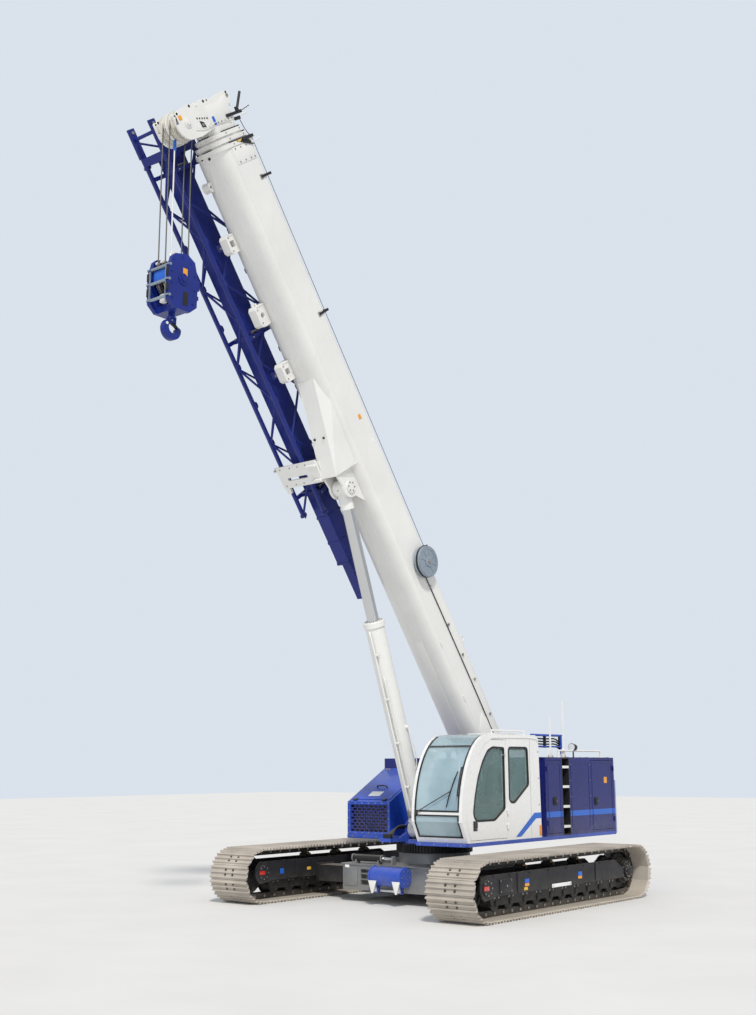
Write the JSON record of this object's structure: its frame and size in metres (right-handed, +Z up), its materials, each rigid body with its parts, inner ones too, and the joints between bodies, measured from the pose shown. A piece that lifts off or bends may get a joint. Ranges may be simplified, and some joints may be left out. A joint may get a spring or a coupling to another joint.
{
  "type": "crawler crane",
  "caption": "Crawler crane with a telescopic boom raised by a cylinder, a glazed cab, steel tracks, a stowed lattice jib and a hanging hook block.",
  "frame": {"origin": "on the ground, below the swing axis of the upper structure", "axes": "+Z up, the machine faces -Y and its cab is on +X"},
  "size_m": [4.925, 9.6198, 11.528],
  "materials": {
    "track_steel": "worn steel shoes with dry dust",
    "frame_black": "satin black paint, dusty",
    "machine_grey": "light grey satin paint",
    "blue_paint": "gloss bright blue paint",
    "navy_paint": "gloss dark blue paint",
    "white_paint": "gloss off-white paint",
    "window_glass": "green tinted glass",
    "chromed_rod": "polished chrome",
    "bare_steel": "machined steel",
    "reel_grey": "grey-blue paint",
    "seat_cloth": "woven cloth",
    "console_plastic": "grained plastic",
    "rope_steel": "greased wire rope"
  },
  "bodies": {
    "undercarriage": {"carbody": "machine_grey", "track_beams": "frame_black", "slew_ring": "frame_black", "tow_drum": "blue_paint", "track_frames": "frame_black", "track_left": "track_steel", "track_right": "track_steel", "sprockets": "frame_black", "idlers": "frame_black", "rollers": "frame_black"},
    "upper": {"deck": "blue_paint", "boom_supports": "blue_paint", "boom_pin": "bare_steel", "counterweight": "blue_paint", "left_hood": "navy_paint", "ladder": "frame_black", "right_hood": "navy_paint", "engine": "frame_black", "cooler_box": "blue_paint", "grille": "blue_paint", "radiator": "frame_black", "cab_shell": "white_paint", "cab_glass": "window_glass", "seat": "seat_cloth", "console": "console_plastic", "handrails": "white_paint", "guard_frame": "blue_paint"},
    "winch_drum_main": {"winch_main": "frame_black"},
    "winch_drum_second": {"winch_second": "frame_black"},
    "cab_door_body": {"cab_door": "white_paint", "door_glass": "window_glass"},
    "hood_door_front_body": {"hood_door_front": "navy_paint"},
    "hood_door_rear_body": {"hood_door_rear": "navy_paint"},
    "engine_door_body": {"engine_door": "navy_paint"},
    "boom_base_body": {"boom_base": "white_paint", "boom_brackets": "white_paint", "cable_reel": "reel_grey", "jib_lattice": "navy_paint", "jib_inner": "navy_paint"},
    "boom_second_body": {"boom_second": "white_paint"},
    "boom_third_body": {"boom_third": "white_paint"},
    "boom_fly_body": {"boom_fly": "white_paint", "boom_head": "white_paint"},
    "head_sheave_body": {"head_sheaves": "bare_steel"},
    "cylinder_rod_body": {"cylinder_rod": "chromed_rod"},
    "cylinder_barrel_body": {"cylinder_barrel": "white_paint"},
    "hook_block_body": {"block_cheeks": "blue_paint", "hoist_ropes": "rope_steel"},
    "block_sheave_body": {"block_sheaves": "frame_black"},
    "hook_body": {"hook": "blue_paint"}
  },
  "joints": [
    {"name": "swing", "type": "hinge", "parent": "undercarriage", "child": "upper", "pos_m": [0, 0, 0.86], "axis": [0, 0, 1], "continuous": true},
    {"name": "boom_luff", "type": "hinge", "parent": "upper", "child": "boom_base_body", "pos_m": [0, 1.476, 2.12], "axis": [-1, 0, 0], "range_deg": [-53.48, 26.52]},
    {"name": "extend_second", "type": "slide", "parent": "boom_base_body", "child": "boom_second_body", "axis": [0, -0.5951, 0.8036], "range_m": [0, 6.85]},
    {"name": "extend_third", "type": "slide", "parent": "boom_second_body", "child": "boom_third_body", "axis": [0, -0.5951, 0.8036], "range_m": [0, 6.85]},
    {"name": "extend_fly", "type": "slide", "parent": "boom_third_body", "child": "boom_fly_body", "axis": [0, -0.5951, 0.8036], "range_m": [0, 6.85]},
    {"name": "rod_tilt", "type": "hinge", "parent": "boom_base_body", "child": "cylinder_rod_body", "pos_m": [0, -2.23634, 6.20235], "axis": [-1, 0, 0], "range_deg": [-8.78, 4.36]},
    {"name": "barrel_slide", "type": "slide", "parent": "cylinder_rod_body", "child": "cylinder_barrel_body", "axis": [0, 0.3457, -0.9383], "range_m": [-1.762, 0.8742]},
    {"name": "block_hang", "type": "hinge", "parent": "boom_fly_body", "child": "hook_block_body", "pos_m": [0, -5.76778, 10.6924], "axis": [-1, 0, 0], "range_deg": [-26.53, 53.49]},
    {"name": "head_sheave_spin", "type": "hinge", "parent": "boom_fly_body", "child": "head_sheave_body", "pos_m": [0, -5.76778, 10.6924], "axis": [1, 0, 0], "continuous": true},
    {"name": "block_sheave_spin", "type": "hinge", "parent": "hook_block_body", "child": "block_sheave_body", "pos_m": [0, -5.76778, 8.4024], "axis": [1, 0, 0], "continuous": true},
    {"name": "hook_swivel", "type": "hinge", "parent": "hook_block_body", "child": "hook_body", "pos_m": [0, -5.76778, 8.0024], "axis": [0, 0, 1], "continuous": true},
    {"name": "winch_main_turn", "type": "hinge", "parent": "upper", "child": "winch_drum_main", "pos_m": [0, 2.09, 1.4], "axis": [1, 0, 0], "continuous": true},
    {"name": "winch_second_turn", "type": "hinge", "parent": "upper", "child": "winch_drum_second", "pos_m": [0, 2.74, 1.4], "axis": [1, 0, 0], "continuous": true},
    {"name": "cab_door_hinge", "type": "hinge", "parent": "upper", "child": "cab_door_body", "pos_m": [1.523, -0.202, 1.7], "axis": [0, 0, 1], "range_deg": [0, 95]},
    {"name": "hood_door_front_hinge", "type": "hinge", "parent": "upper", "child": "hood_door_front_body", "pos_m": [1.523, 0.957, 1.56], "axis": [0, 0, -1], "range_deg": [0, 95]},
    {"name": "hood_door_rear_hinge", "type": "hinge", "parent": "upper", "child": "hood_door_rear_body", "pos_m": [1.523, 3.113, 1.56], "axis": [0, 0, 1], "range_deg": [0, 95]},
    {"name": "engine_door_hinge", "type": "hinge", "parent": "upper", "child": "engine_door_body", "pos_m": [-1.523, 1.497, 1.56], "axis": [0, 0, 1], "range_deg": [0, 95]}
  ],
  "couplings": [
    {"joint": "extend_third", "follows": "extend_second", "ratio": 1},
    {"joint": "extend_fly", "follows": "extend_second", "ratio": 1},
    {"joint": "rod_tilt", "follows": "boom_luff", "ratio": 0.164},
    {"joint": "barrel_slide", "follows": "boom_luff", "m_per_rad": 1.8866},
    {"joint": "block_hang", "follows": "boom_luff", "ratio": -1}
  ]
}
